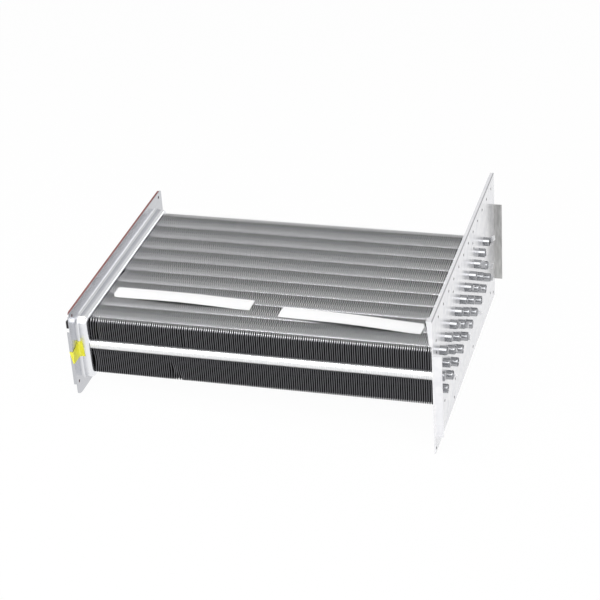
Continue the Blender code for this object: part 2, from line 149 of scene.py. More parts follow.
# Collector pan, as the solid has it
PAN_THICKNESS = 0.8 * MM
PAN_DEPTH = 11.4 * MM
PAN_BEND = 3.0 * MM
PAN_CORNER = 10.0 * MM
PAN_SIDE_FLANGE = 15.7 * MM
PAN_TOP_FLANGE = 12.7 * MM
PAN_BOTTOM_FLANGE = 11.2 * MM
FLANGE_CORNER = (3.0 * MM, 3.0 * MM)
CLIPPED_CORNER = (12.5 * MM, 6.0 * MM)
FLANGE_HOLE = 3.4 * MM
HOLE_SIDES = 24
FLANGE_TOP_HOLES = (9.5 * MM, 5.0 * MM)
FLANGE_LOW_HOLES = (6.4 * MM, 15.3 * MM)
LIP_DEPTH = 2.8 * MM
LIP_BEND = 0.6 * MM
LIP_TOP_DROP = 20.2 * MM
LIP_BOTTOM_RISE = 14.5 * MM
CORNER_STEPS = 12
BEND_STEPS = 8

# Paper strips
PAPER_STEPS = 24
PAPER_BOW = 1.5 * MM
PAPER_TILT = 0.5

# Real sizes that the finishes are drawn from. Rolling lines and draw marks are finer on the real
# metal, and are drawn as coarse as they need to show.
ZINC_CRYSTAL = 7.0 * MM
HANDLING_CLOUD = 30.0 * MM
ROLLING_LINE = 0.5 * MM
DRAW_MARK = 0.6 * MM
PAN_CLOUD = 1.0 * MM
SHEET_GRAIN = 3.0 * MM
GASKET_FIBRE = 1.2 * MM
FIBRE_RELIEF = 0.1 * MM
FOAM_CELL = 0.8 * MM
CELL_RELIEF = 0.15 * MM
TAPE_CREASE = 6.0 * MM
CREASE_RELIEF = 0.5 * MM
PAPER_GRAIN = 0.9 * MM
GRAIN_RELIEF = 0.03 * MM
FOLD_LINE = (-1.2 * MM, -0.4 * MM)
PAN_ROOT_START = 0.5 * MM

# Scale of each streaky pattern along its streaks, as a share of its scale across them
LINE_STRETCH = 0.05
MARK_STRETCH = 0.02
STREAK_STRETCH = 0.2

# Painted shade and painted light on the fins; a pair of shares says where in the tube pitch the
# painted shade sets in and ends
FRONT_SHADE_REACH = 8.0 * MM
LIT_BEFORE_TUBE = 3.3 * MM
FACE_SHADE = (0.2, 0.85)
EDGE_SHADE = (0.1, 0.8)
COLLAR_SHADE = (0.75, 0.8)
FRONT_SHADE = (0.6 * MM, 2.6 * MM)
SHADED_EDGE_SHARE = 0.58
LIT_BAND_HEIGHT = -13.3 * MM
LIT_BAND_HALF = 4.0 * MM
LIT_BAND_SHARE = 0.6
CLOUD_SHARE = 0.12
SPANGLE_SHARE = 0.3

# The range that most of a noise pattern's values lie in
MOST_NOISE = {"From Min": 0.3, "From Max": 0.7}


def linear(hex_colour):
    """An sRGB hex colour as linear RGBA."""
    parts = [int(hex_colour[i:i + 2], 16) / 255 for i in (1, 3, 5)]
    return (*(c / 12.92 if c <= 0.04045 else ((c + 0.055) / 1.055) ** 2.4 for c in parts), 1.0)


def add_node(tree, kind, inputs=None, feeds=None, **settings):
    """Adds a node; an input takes a value or a node's output, and an output feeds a socket."""
    node = tree.nodes.new(kind)
    for name, value in settings.items():
        setattr(node, name, value)
    for name, value in (inputs or {}).items():
        if isinstance(value, bpy.types.NodeSocket):
            tree.links.new(value, node.inputs[name])
        else:
            node.inputs[name].default_value = value
    for name, socket in (feeds or {}).items():
        tree.links.new(node.outputs[name], socket)
    return node


def new_material(name, metallic, roughness):
    """A material with the plain values of its Principled shader, and the Object coordinates."""
    material = bpy.data.materials.new(name)
    material.use_nodes = True
    tree = material.node_tree
    shader = tree.nodes["Principled BSDF"]
    shader.inputs["Metallic"].default_value = metallic
    shader.inputs["Roughness"].default_value = roughness
    place = add_node(tree, "ShaderNodeTexCoord").outputs["Object"]
    return material, tree, shader, place


def two_tone(tree, shader, pattern, dark, light, low=0.35, high=0.65):
    """Colours the shader between two hex colours where the pattern runs from low to high."""
    share = {"Value": pattern, "From Min": low, "From Max": high}
    share = add_node(tree, "ShaderNodeMapRange", share).outputs["Result"]
    colours = {0: share, 6: linear(dark), 7: linear(light)}
    base = {2: shader.inputs["Base Color"]}
    return add_node(tree, "ShaderNodeMix", colours, base, data_type="RGBA").outputs[2]


def painted_light_by_tube(tree, depth, near, far):
    """A share of painted light, which starts at 1 just before each tube of the top row and falls to
    0 behind it, where painted shade sets in.
    """
    low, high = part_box("tube_top_01")
    start = (low.y + high.y) / 2 - LIT_BEFORE_TUBE
    beyond = add_node(tree, "ShaderNodeMath", {0: depth, 1: start}, operation="SUBTRACT").outputs[0]
    beyond = {0: beyond, 1: TUBE_PITCH, 2: 0.0}
    beyond = add_node(tree, "ShaderNodeMath", beyond, operation="WRAP").outputs[0]
    lit_share = {"Value": beyond, "From Min": near * TUBE_PITCH, "From Max": far * TUBE_PITCH}
    lit_share.update({"To Min": 1.0, "To Max": 0.0})
    lit_share = add_node(tree, "ShaderNodeMapRange", lit_share, interpolation_type="SMOOTHSTEP")
    return lit_share.outputs["Result"]


def lit_band(tree, height):
    """A share of painted light that peaks at one height on the front of the fins."""
    away = {0: height, 1: LIT_BAND_HEIGHT}
    away = add_node(tree, "ShaderNodeMath", away, operation="SUBTRACT").outputs[0]
    away = add_node(tree, "ShaderNodeMath", {0: away}, operation="ABSOLUTE").outputs[0]
    band = {"Value": away, "From Min": 0.0, "From Max": LIT_BAND_HALF}
    band.update({"To Min": LIT_BAND_SHARE, "To Max": 0.0})
    band = add_node(tree, "ShaderNodeMapRange", band, interpolation_type="SMOOTHSTEP")
    return band.outputs["Result"]


def fin_face():
    """Faces of the aluminium fin stock, rolled thin and dull.

    Painted shade darkens them at the front of the pack and just before each tube, and painted light
    brightens them behind each tube and in a band across the front.
    """
    material, tree, shader, place = new_material("aluminium_fin_face_painted_shade", 1.0, 0.42)
    axes = add_node(tree, "ShaderNodeSeparateXYZ", {"Vector": place}).outputs
    low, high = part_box("fin_pack")
    corner = low.y + high.z
    front_shaded, plain = corner - FRONT_SHADE_REACH, corner + FRONT_SHADE_REACH / 2
    inward = {0: axes["Y"], 1: axes["Z"]}
    inward = add_node(tree, "ShaderNodeMath", inward, operation="ADD").outputs[0]
    lit_share = {"Value": inward, "From Min": front_shaded, "From Max": plain}
    lit_share = add_node(tree, "ShaderNodeMapRange", lit_share).outputs["Result"]
    lit_share = {0: lit_share, 1: painted_light_by_tube(tree, axes["Y"], *FACE_SHADE)}
    lit_share = add_node(tree, "ShaderNodeMath", lit_share, operation="MULTIPLY").outputs[0]
    lit_share = {0: lit_share, 1: lit_band(tree, axes["Z"])}
    lit_share = add_node(tree, "ShaderNodeMath", lit_share, operation="MAXIMUM").outputs[0]
    cloud = {"Vector": place, "Scale": 1 / HANDLING_CLOUD, "Detail": 3.0}
    cloud = add_node(tree, "ShaderNodeTexNoise", cloud).outputs["Fac"]
    shade_and_mottle = add_node(tree, "ShaderNodeMix", {0: CLOUD_SHARE, 2: lit_share, 3: cloud}).outputs[0]
    two_tone(tree, shader, shade_and_mottle, "#121214", "#707074", 0.05, 0.9)
    lines = {"Vector": place, "Scale": (1.0, LINE_STRETCH / ROLLING_LINE, 1 / ROLLING_LINE)}
    lines = add_node(tree, "ShaderNodeMapping", lines).outputs["Vector"]
    rolled = {"Vector": lines, "Scale": 1.0, "Detail": 2.0}
    rolled = add_node(tree, "ShaderNodeTexNoise", rolled).outputs["Fac"]
    gloss = {"Value": rolled, **MOST_NOISE, "To Min": 0.36, "To Max": 0.5}
    add_node(tree, "ShaderNodeMapRange", gloss, {"Result": shader.inputs["Roughness"]})
    shader.inputs["Specular Tint"].default_value = linear("#909090")
    return material


def fin_edge():
    """Sheared edges of the fins: bright bare aluminium, with painted shade along the front and away
    from the tubes, and painted light by each tube of the top row.
    """
    material, tree, shader, place = new_material("sheared_aluminium_edge", 1.0, 0.33)
    depth = add_node(tree, "ShaderNodeSeparateXYZ", {"Vector": place}).outputs["Y"]
    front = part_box("fin_pack")[0].y
    behind = {"Value": depth, "From Min": front + FRONT_SHADE[0], "From Max": front + FRONT_SHADE[1]}
    behind["To Max"] = SHADED_EDGE_SHARE
    behind = add_node(tree, "ShaderNodeMapRange", behind).outputs["Result"]
    tube_light = {0: painted_light_by_tube(tree, depth, *EDGE_SHADE), 1: 1.0}
    tube_light = add_node(tree, "ShaderNodeMath", tube_light, operation="ADD").outputs[0]
    lit_share = add_node(tree, "ShaderNodeMath", {0: behind, 1: tube_light}, operation="MULTIPLY").outputs[0]
    two_tone(tree, shader, lit_share, "#6a6a6d", "#f8f8fa", 0.0, 1.0)
    grain = {"Vector": place, "Scale": 1 / ROLLING_LINE, "Detail": 2.0}
    grain = add_node(tree, "ShaderNodeTexNoise", grain).outputs["Fac"]
    gloss = {"Value": grain, **MOST_NOISE, "To Min": 0.28, "To Max": 0.38}
    add_node(tree, "ShaderNodeMapRange", gloss, {"Result": shader.inputs["Roughness"]})
    return material


def hidden_collar():
    """The drawn collars inside the pack: satin aluminium that shines along its top, with painted
    shade in a band across each tube pitch, which falls on the front of each top-row collar.
    """
    material, tree, shader, place = new_material("satin_aluminium_collar", 1.0, 0.34)
    depth = add_node(tree, "ShaderNodeSeparateXYZ", {"Vector": place}).outputs["Y"]
    two_tone(tree, shader, painted_light_by_tube(tree, depth, *COLLAR_SHADE), "#2c2c2e", "#eeeef0", 0.0, 1.0)
    cloud = {"Vector": place, "Scale": 1 / SHEET_GRAIN, "Detail": 2.0}
    cloud = add_node(tree, "ShaderNodeTexNoise", cloud).outputs["Fac"]
    gloss = {"Value": cloud, **MOST_NOISE, "To Min": 0.13, "To Max": 0.18}
    add_node(tree, "ShaderNodeMapRange", gloss, {"Result": shader.inputs["Roughness"]})
    return material


def open_collar():
    """The drawn collars along the open edges: the same aluminium, burnished bright by handling."""
    material, tree, shader, place = new_material("burnished_aluminium_collar", 1.0, 0.34)
    cloud = {"Vector": place, "Scale": 1 / SHEET_GRAIN, "Detail": 2.0}
    cloud = add_node(tree, "ShaderNodeTexNoise", cloud).outputs["Fac"]
    two_tone(tree, shader, cloud, "#eeeff0", "#f8f8f8")
    gloss = {"Value": cloud, **MOST_NOISE, "To Min": 0.3, "To Max": 0.4}
    add_node(tree, "ShaderNodeMapRange", gloss, {"Result": shader.inputs["Roughness"]})
    return material


def stainless_tube():
    """Drawn stainless tube: a dark mirror with faint lengthwise draw marks."""
    material, tree, shader, place = new_material("drawn_stainless_tube", 1.0, 0.16)
    stretch = {"Vector": place, "Scale": (MARK_STRETCH / DRAW_MARK, 1 / DRAW_MARK, 1 / DRAW_MARK)}
    stretch = add_node(tree, "ShaderNodeMapping", stretch).outputs["Vector"]
    marks = {"Vector": stretch, "Scale": 1.0, "Detail": 2.0}
    marks = add_node(tree, "ShaderNodeTexNoise", marks).outputs["Fac"]
    two_tone(tree, shader, marks, "#98999c", "#adaeb1")
    gloss = {"Value": marks, **MOST_NOISE, "To Min": 0.12, "To Max": 0.22}
    add_node(tree, "ShaderNodeMapRange", gloss, {"Result": shader.inputs["Roughness"]})
    return material


def strip_steel():
    """Rolled strip of the turbulators: bright, with fine rolling marks."""
    material, tree, shader, place = new_material("rolled_strip_steel", 1.0, 0.28)
    cloud = {"Vector": place, "Scale": 1 / DRAW_MARK, "Detail": 2.0}
    cloud = add_node(tree, "ShaderNodeTexNoise", cloud).outputs["Fac"]
    two_tone(tree, shader, cloud, "#dfe0e2", "#f1f1f2")
    return material


def galvanised_steel():
    """Hot-dip galvanised sheet: a bright, near mirror zinc skin with a faint spangle.

    It is darker along the fold at the top.
    """
    material, tree, shader, place = new_material("galvanised_steel_sheet", 0.5, 0.2)
    crystals = {"Vector": place, "Scale": 1 / ZINC_CRYSTAL}
    crystals = add_node(tree, "ShaderNodeTexVoronoi", crystals).outputs["Color"]
    cloud = {"Vector": place, "Scale": 1 / HANDLING_CLOUD, "Detail": 4.0}
    cloud = add_node(tree, "ShaderNodeTexNoise", cloud).outputs["Fac"]
    spangle = {0: SPANGLE_SHARE, 2: cloud, 3: crystals}
    spangle = add_node(tree, "ShaderNodeMix", spangle).outputs[0]
    zinc = two_tone(tree, shader, spangle, "#ececf0", "#f6f6f8")
    axes = add_node(tree, "ShaderNodeSeparateXYZ", {"Vector": place}).outputs
    fold = {0: axes["X"], 1: axes["Z"]}
    fold = add_node(tree, "ShaderNodeMath", fold, operation="ADD").outputs[0]
    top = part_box("tube_sheet")[1].z
    fold = {"Value": fold, "From Min": top + FOLD_LINE[0], "From Max": top + FOLD_LINE[1]}
    fold = add_node(tree, "ShaderNodeMapRange", fold).outputs["Result"]
    fold_darkened = {0: fold, 6: zinc, 7: linear("#9c9c9f")}
    base = {2: shader.inputs["Base Color"]}
    add_node(tree, "ShaderNodeMix", fold_darkened, base, data_type="RGBA")
    gloss = {"Value": spangle, **MOST_NOISE, "To Min": 0.17, "To Max": 0.27}
    add_node(tree, "ShaderNodeMapRange", gloss, {"Result": shader.inputs["Roughness"]})
    return material


def hole_wall_shade():
    """Bare steel in the punched holes, painted near black as painted shade in the holes."""
    material, tree, shader, place = new_material("hole_wall_painted_shade", 0.6, 0.5)
    grain = {"Vector": place, "Scale": 1 / DRAW_MARK, "Detail": 2.0}
    grain = add_node(tree, "ShaderNodeTexNoise", grain).outputs["Fac"]
    two_tone(tree, shader, grain, "#2e2f31", "#47484a")
    return material


def shaded_flange_zinc():
    """The same zinc skin on the folded back flange, in a darker streaky grey that is painted shade.
    """
    material, tree, shader, place = new_material("shaded_flange_zinc", 1.0, 0.4)
    scale = (1 / SHEET_GRAIN, 1 / SHEET_GRAIN, STREAK_STRETCH / SHEET_GRAIN)
    streaks = {"Vector": place, "Scale": scale}
    streaks = add_node(tree, "ShaderNodeMapping", streaks).outputs["Vector"]
    cloud = {"Vector": streaks, "Scale": 1.0, "Detail": 4.0}
    cloud = add_node(tree, "ShaderNodeTexNoise", cloud).outputs["Fac"]
    two_tone(tree, shader, cloud, "#aeaeac", "#cacac8")
    gloss = {"Value": cloud, **MOST_NOISE, "To Min": 0.36, "To Max": 0.46}
    add_node(tree, "ShaderNodeMapRange", gloss, {"Result": shader.inputs["Roughness"]})
    return material


def aluminised_sheet():
    """Aluminised pressed sheet of the pan: satin grey and cloudy, with painted light on the bent
    wall, which is lighter than the flange.
    """
    material, tree, shader, place = new_material("aluminised_pressed_sheet", 1.0, 0.2)
    cloud = {"Vector": place, "Scale": 1 / HANDLING_CLOUD, "Detail": 4.0}
    cloud = add_node(tree, "ShaderNodeTexNoise", cloud).outputs["Fac"]
    depth = add_node(tree, "ShaderNodeSeparateXYZ", {"Vector": place}).outputs["X"]
    depth = {0: cloud, 1: PAN_CLOUD, 2: depth}
    depth = add_node(tree, "ShaderNodeMath", depth, operation="MULTIPLY_ADD").outputs[0]
    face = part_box("collector_pan")[1].x - PAN_DEPTH
    two_tone(tree, shader, depth, "#c4c5c9", "#eff0f3", face + PAN_ROOT_START, face + PAN_BEND)
    gloss = {"Value": cloud, **MOST_NOISE, "To Min": 0.22, "To Max": 0.27}
    add_node(tree, "ShaderNodeMapRange", gloss, {"Result": shader.inputs["Roughness"]})
    return material


def fibre_gasket():
    """Pressed fibre gasket sheet: dull brown-red with short darker fibres."""
    material, tree, shader, place = new_material("pressed_fibre_gasket", 0.0, 0.85)
    fibres = {"Vector": place, "Scale": 1 / GASKET_FIBRE, "Detail": 4.0}
    fibres = add_node(tree, "ShaderNodeTexNoise", fibres).outputs["Fac"]
    two_tone(tree, shader, fibres, "#6e3f3d", "#9c6864")
    relief = {"Height": fibres, "Distance": FIBRE_RELIEF, "Strength": 1.0}
    add_node(tree, "ShaderNodeBump", relief, {"Normal": shader.inputs["Normal"]})
    return material


def foam_rubber():
    """Closed-cell foam rubber: soft black, its cut cells catch a little light."""
    material, tree, shader, place = new_material("black_foam_rubber", 0.0, 0.92)
    cells = {"Vector": place, "Scale": 1 / FOAM_CELL}
    cells = add_node(tree, "ShaderNodeTexVoronoi", cells).outputs["Distance"]
    two_tone(tree, shader, cells, "#121213", "#2c2c2e", 0.1, 0.8)
    relief = {"Height": cells, "Distance": CELL_RELIEF, "Strength": 1.0}
    add_node(tree, "ShaderNodeBump", relief, {"Normal": shader.inputs["Normal"]})
    return material


def vinyl_tape():
    """Soft PVC tape: clear yellow with a low gloss and slack creases."""
    material, tree, shader, place = new_material("yellow_pvc_tape", 0.0, 0.4)
    creases = {"Vector": place, "Scale": 1 / TAPE_CREASE, "Detail": 3.0}
    creases = add_node(tree, "ShaderNodeTexNoise", creases).outputs["Fac"]
    two_tone(tree, shader, creases, "#eeea3a", "#f8f55c")
    relief = {"Height": creases, "Distance": CREASE_RELIEF, "Strength": 1.0}
    add_node(tree, "ShaderNodeBump", relief, {"Normal": shader.inputs["Normal"]})
    return material


def smooth_paper():
    """Smooth white wrapping paper: matt, with a faint fibre grain."""
    material, tree, shader, place = new_material("smooth_white_paper", 0.0, 0.7)
    grain = {"Vector": place, "Scale": 1 / PAPER_GRAIN, "Detail": 3.0}
    grain = add_node(tree, "ShaderNodeTexNoise", grain).outputs["Fac"]
    two_tone(tree, shader, grain, "#f3f3f3", "#fafafa")
    relief = {"Height": grain, "Distance": GRAIN_RELIEF, "Strength": 1.0}
    add_node(tree, "ShaderNodeBump", relief, {"Normal": shader.inputs["Normal"]})
    return material


def grid_quads(rows, columns, close_rows=False, close_columns=False):
    """Quads between the neighbours of a grid of points, row after row, worked out as arrays."""
    row = np.arange(rows if close_rows else rows - 1)[:, None]
    column = np.arange(columns if close_columns else columns - 1)[None, :]
    next_row = (row + 1) % rows
    next_column = (column + 1) % columns
    corners = (
        row * columns + column,
        row * columns + next_column,
        next_row * columns + next_column,
        next_row * columns + column,
    )
    return np.stack(np.broadcast_arrays(*corners), axis=-1).reshape(-1, 4)


def capped_faces(rows, columns, count=1):
    """The quads of some tubes of points, and then the first and last ring of each as its ends."""
    starts = np.arange(count)[:, None, None] * rows * columns
    wall = starts + grid_quads(rows, columns, close_columns=True)
    ends = starts + np.arange(rows * columns).reshape(rows, columns)[[0, -1]]
    return wall.reshape(-1, 4).tolist() + ends.reshape(-1, columns).tolist()


def closed_mesh(name, points, faces):
    """A mesh of an array of points and a list of faces, with its faces turned outwards."""
    mesh = bpy.data.meshes.new(name)
    mesh.from_pydata(points.reshape(-1, 3).tolist(), [], faces)
    bm = bmesh.new()
    bm.from_mesh(mesh)
    bmesh.ops.recalc_face_normals(bm, faces=bm.faces)
    bm.to_mesh(mesh)
    bm.free()
    return mesh


def merged_copy(name, cuts=()):
    """A solid's own mesh, merged, its flat faces joined, and cut across at the given X places."""
    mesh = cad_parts[name].data.copy()
    bm = bmesh.new()
    bm.from_mesh(mesh)
    bmesh.ops.remove_doubles(bm, verts=bm.verts, dist=MERGE_DISTANCE)
    bmesh.ops.dissolve_limit(bm, angle_limit=FLAT_ANGLE, verts=bm.verts, edges=bm.edges)
    for x in cuts:
        parts = bm.verts[:] + bm.edges[:] + bm.faces[:]
        bmesh.ops.bisect_plane(bm, geom=parts, plane_co=(x, 0, 0), plane_no=(1, 0, 0))
    bm.to_mesh(mesh)
    bm.free()
    mesh.materials.clear()
    return mesh


def shade(mesh, sharp=SHARP_ANGLE):
    """Shades a mesh smooth, apart from its sharp edges."""
    mesh.shade_smooth()
    mesh.set_sharp_from_angle(angle=sharp)


def show(name, mesh, stands_for=()):
    """Puts a mesh in the scene, riding on the part and shown in place of some nodes."""
    piece = bpy.data.objects.new(name, mesh)
    bpy.context.scene.collection.objects.link(piece)
    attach(piece, "root")
    if stands_for:
        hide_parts(*stands_for)
    return piece


def new_piece(name, points, faces, material, slot, stands_for=(), sharp=SHARP_ANGLE):
    """A closed piece with one finish."""
    mesh = closed_mesh(name, points, faces)
    mesh.materials.append(material)
    shade(mesh, sharp)
    return show(name, mesh, stands_for)


def fin_points(places, low, high, levels):
    """Points of fins at the given X places, each a thin bar section run along Y.

    X swings by ripple * sin(2 pi y / ripple length). The top strays by stray * sin(spread * X), so
    that neighbours differ. The height falls along a quarter circle at the front. Every dent adds
    push * exp(-distance^2 / radius^2).
    """
    run = high.y - low.y
    steps = int(run / RIPPLE_LENGTH * RIPPLE_STEPS)
    corner = FIN_ROUND * (1 - np.cos(np.linspace(0, math.pi / 2, ROUND_STEPS + 1)))
    along = np.concatenate([corner, np.linspace(FIN_ROUND, run, steps)[1:]])
    inside = np.clip(FIN_ROUND - along, 0, None)
    drop = FIN_ROUND - np.sqrt(FIN_ROUND**2 - inside**2)
    height = np.linspace(0, 1, levels)
    height = np.concatenate([height, height[::-1]])
    side = np.repeat([-0.5, 0.5], levels) * FIN_THICKNESS
    stray = FIN_STRAY * np.sin(places * STRAY_SPREAD / MM)[:, None, None] * height
    swing = FIN_RIPPLE * np.sin(2 * math.pi * along / RIPPLE_LENGTH)
    x = places[:, None, None] + stray + swing[None, :, None] + side
    y = np.broadcast_to((low.y + along)[None, :, None], x.shape)
    z = low.z + drop[:, None] + height * (high.z - low.z - 2 * drop[:, None])
    z = np.broadcast_to(z[None], x.shape)
    for middle, width, dent_y, dent_z, radius, push in DENTS:
        near = np.exp(-((places - middle) / width) ** 2)[:, None, None]
        x = x + push * near * np.exp(-((y - dent_y) ** 2 + (z - dent_z) ** 2) / radius**2)
    return np.stack([np.clip(x, low.x, high.x), y, z], axis=-1)


def make_fins(name, places, levels, face_metal, edge_metal):
    """Fins at the given X places, each a closed bar; their sheared edges get a second finish."""
    points = fin_points(places, *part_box("fin_pack"), levels)
    fins, rows, columns, _ = points.shape
    faces = capped_faces(rows, columns, fins)
    piece = new_piece(name, points, faces, face_metal, "fin_aluminium", ("fin_pack",))
    edge = np.arange(len(faces)) % levels == levels - 1
    edge[-2 * fins:] = True
    piece.data.materials.append(edge_metal)
    piece.data.polygons.foreach_set("material_index", edge.astype(np.int32))


def make_fin_pack(face_metal, edge_metal):
    """The stack of rippled fins, which stands for the ribbed solid.

    The places are an even row at the fin pitch, and dented fins have more points up their height.
    """
    low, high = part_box("fin_pack")
    margin = FIN_RIPPLE + FIN_THICKNESS / 2 + FIN_STRAY
    length = high.x - low.x - 2 * margin
    count = round(length / FIN_PITCH) + 1
    places = low.x + margin + np.linspace(0, length, count)
    dented = (np.abs(places[:, None] - DENTS[:, 0]) < DENT_REACH * DENTS[:, 1]).any(axis=1)
    left, right = np.array_split(places[~dented], 2)
    left_dented, right_dented = np.array_split(places[dented], 2)
    make_fins("left_fins", left, PLAIN_LEVELS, face_metal, edge_metal)
    make_fins("right_fins", right, PLAIN_LEVELS, face_metal, edge_metal)
    make_fins("left_dented_fins", left_dented, BENT_LEVELS, face_metal, edge_metal)
    make_fins("right_dented_fins", right_dented, BENT_LEVELS, face_metal, edge_metal)


def turned(profile, sides, y, z):
    """A closed profile of X and radius turned about the line through Y and Z along X.

    At each angle a, the points lie at Y + radius * cos a and Z + radius * sin a.
    """
    angle = np.linspace(0, 2 * math.pi, sides, endpoint=False)[:, None]
    x = np.broadcast_to(profile[:, 0], (sides, len(profile)))
    across, up = profile[:, 1] * np.cos(angle), profile[:, 1] * np.sin(angle)
    faces = grid_quads(sides, len(profile), True, True).tolist()
    return np.stack([x, y + across, z + up], axis=-1), faces


def tube_profile(low_x, high_x):
    """The wall of a tube as X and radius: out, round the mouth, back inside and round again.

    Each edge of a mouth is a quarter circle, mouth round * (sin a, 1 - cos a).
    """
    turn = np.linspace(0, math.pi / 2, MOUTH_STEPS)
    inner = TUBE_RADIUS - TUBE_WALL
    soft_x = MOUTH_ROUND * np.sin(turn)
    soft_r = MOUTH_ROUND * (1 - np.cos(turn))
    out_high = np.stack([high_x - MOUTH_ROUND + soft_x, TUBE_RADIUS - soft_r], axis=1)
    in_high = np.stack([high_x - MOUTH_ROUND + soft_x, inner + soft_r], axis=1)[::-1]
    in_low = np.stack([low_x + MOUTH_ROUND - soft_x, inner + soft_r], axis=1)
    out_low = np.stack([low_x + MOUTH_ROUND - soft_x, TUBE_RADIUS - soft_r], axis=1)[::-1]
    return np.concatenate([out_high, in_high, in_low, out_low])


def collar_profile(low_x, high_x, cover):
    """A sleeve of nested collars as X and radius.

    Its radius is tube + cover, and rises by the flare at each fin in a straight slope.
    """
    count = round((high_x - low_x) / FIN_PITCH)
    pitch = (high_x - low_x) / count
    x = low_x + (np.arange(count)[:, None] + np.array([0.0, FLARE_SHARE, 1 - FLARE_SHARE])) * pitch
    radius = TUBE_RADIUS + cover + np.array([COLLAR_FLARE, 0.0, 0.0])
    outer = np.stack([x.ravel(), np.broadcast_to(radius, x.shape).ravel()], axis=1)
    outer = np.append(outer, [[high_x, TUBE_RADIUS + cover + COLLAR_FLARE]], axis=0)
    return np.append(outer, [[high_x, TUBE_RADIUS], [low_x, TUBE_RADIUS]], axis=0)


def strip_points(low_x, high_x, y, z, start):
    """A flat section run along X that turns evenly, by start + 2 pi x / twist length."""
    along = np.linspace(low_x, high_x, STRIP_STEPS)[:, None]
    turn = start + 2 * math.pi * (along - STUB_LENGTH) / STRIP_TWIST
    across = np.array([-1, 1, 1, -1]) * STRIP_HALF_WIDTH
    thick = np.array([-1, -1, 1, 1]) * STRIP_THICKNESS / 2
    return np.stack([
        np.broadcast_to(along, (STRIP_STEPS, 4)),
        y + across * np.cos(turn) - thick * np.sin(turn),
        z + across * np.sin(turn) + thick * np.cos(turn),
    ], axis=-1)


def make_strip(name, low_x, high_x, y, z, reach, metal):
    """The twisted strip of a tube; near the mouth, the bent one starts to climb evenly along X."""
    start_x = low_x + STRIP_INSET
    if name == BENT_STRIP_TUBE:
        points = strip_points(start_x, high_x, y, z, BENT_STRIP_TURN)
        beyond = points[..., 0] - STUB_LENGTH + STRIP_HALF_WIDTH / 2
        points[..., 2] += BENT_STRIP_RISE * np.clip(beyond, 0, None)
    else:
        end_x = STUB_LENGTH + (high_x - STUB_LENGTH) * reach**REACH_POWER
        points = strip_points(start_x, end_x, y, z, 2 * math.pi * reach * REACH_TURNS)
    new_piece(f"strip_{name}", points, capped_faces(STRIP_STEPS, 4), metal, "tube_steel")


def make_collars(name, fin_box, y, z, hidden_metal, open_metal):
    """The collars of all fins on a tube, pressed into one sleeve."""
    low, high = fin_box
    cover, metal = HIDDEN_COVER, hidden_metal
    if name in OPEN_TUBES:
        cover, metal = OPEN_COVER, open_metal
    sleeve = turned(collar_profile(low.x, high.x, cover), COLLAR_SIDES, y, z)
    new_piece(f"collars_{name}", *sleeve, metal, "fin_aluminium", sharp=COLLAR_SHARP_ANGLE)


def make_tubes(tube_metal, hidden_metal, open_metal, strip_metal):
    """Each tube with its sleeve of collars and its twisted strip."""
    fin_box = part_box("fin_pack")
    names = [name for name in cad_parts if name.startswith("tube_") and name != "tube_sheet"]
    reaches = (np.arange(len(names)) * REACH_SPREAD + FIRST_REACH) % 1.0
    for name, reach in zip(sorted(names), reaches):
        low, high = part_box(name)
        y, z = (low.y + high.y) / 2, (low.z + high.z) / 2
        wall = turned(tube_profile(low.x, STUB_LENGTH), TUBE_SIDES, y, z)
        new_piece(f"flue_{name}", *wall, tube_metal, "tube_steel", (name,))
        make_collars(name, fin_box, y, z, hidden_metal, open_metal)
        make_strip(name, low.x, high.x, y, z, reach, strip_metal)


def rounded_ring(x, y, z, corners):
    """A rectangle with an elliptical quarter turn at each corner, at one X.

    A corner's points are centre + radius * (cos a, sin a), as a runs through its quarter.
    """
    quarter = np.linspace(0, math.pi / 2, CORNER_STEPS + 1)
    places = ((0, 0, 2), (1, 0, 3), (1, 1, 0), (0, 1, 1))
    parts = []
    for (side, level, turn), (radius_y, radius_z) in zip(places, corners):
        centre_y = y[side] + (radius_y if side == 0 else -radius_y)
        centre_z = z[level] + (radius_z if level == 0 else -radius_z)
        angle = quarter + turn * math.pi / 2
        ring_y = centre_y + radius_y * np.cos(angle)
        ring_z = centre_z + radius_z * np.sin(angle)
        parts.append(np.stack([np.full(angle.shape, x), ring_y, ring_z], axis=1))
    return np.concatenate(parts)


def wall_ring(pan_box, x, out):
    """The outline of the pan's wall at one X, grown outwards."""
    low, high = pan_box
    y = (low.y + PAN_SIDE_FLANGE - out, high.y - PAN_SIDE_FLANGE + out)
    z = (low.z + PAN_BOTTOM_FLANGE - out, high.z - PAN_TOP_FLANGE + out)
    return rounded_ring(x, y, z, [(PAN_CORNER + out, PAN_CORNER + out)] * 4)


